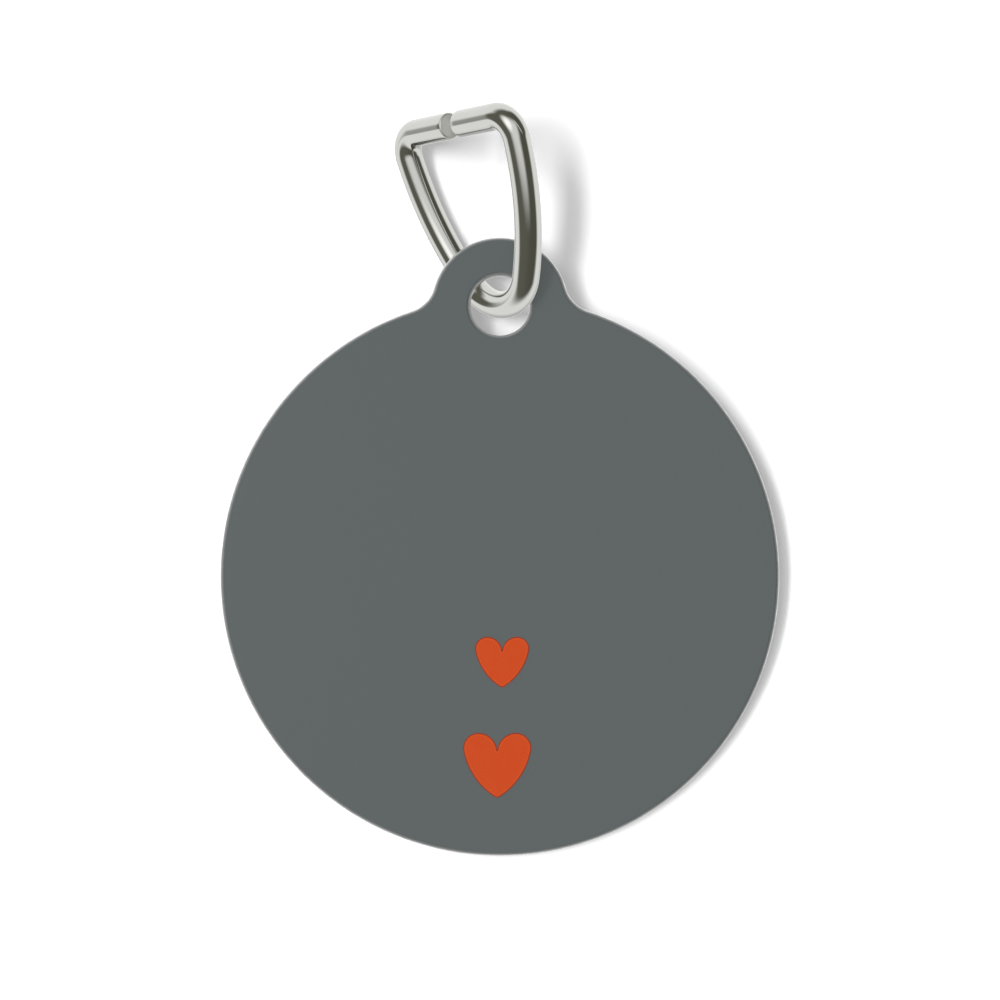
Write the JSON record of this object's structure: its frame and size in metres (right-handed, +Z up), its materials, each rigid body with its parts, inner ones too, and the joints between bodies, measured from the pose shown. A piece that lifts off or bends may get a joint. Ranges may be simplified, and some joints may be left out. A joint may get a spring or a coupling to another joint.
{
  "type": "pet id tag",
  "caption": "Round flat printed metal tag with a holed ear, hung on an open wire ring bent to a rounded triangle.",
  "frame": {"origin": "the seat for the collar's own ring: the middle of the wire ring's straight bar, on its inner side", "axes": "+Z up as the tag hangs, +X to the right when looking at the printed face, +Y away from the printed face, square to the plate"},
  "size_m": [0.032, 0.0096, 0.0427],
  "materials": {
    "blank_metal": "satin, with a tumbled edge",
    "ground": "thin white lacquer",
    "face": "thin print under a clear coat, semi-gloss",
    "ink": "printed ink, semi-gloss",
    "wire": "bright nickel plate on steel"
  },
  "bodies": {
    "ring": {"wire_ring": "wire"},
    "tag": {"tag_plate": "blank_metal", "ground_coat": "ground", "colour_coat": "face", "small_heart": "ink", "large_heart": "ink"}
  },
  "joints": [
    {"name": "tag_swing", "type": "hinge", "parent": "ring", "child": "tag", "pos_m": [0.00233, 0.00164, -0.00947], "axis": [0, 1, 0], "range_deg": [-115, 75]}
  ]
}
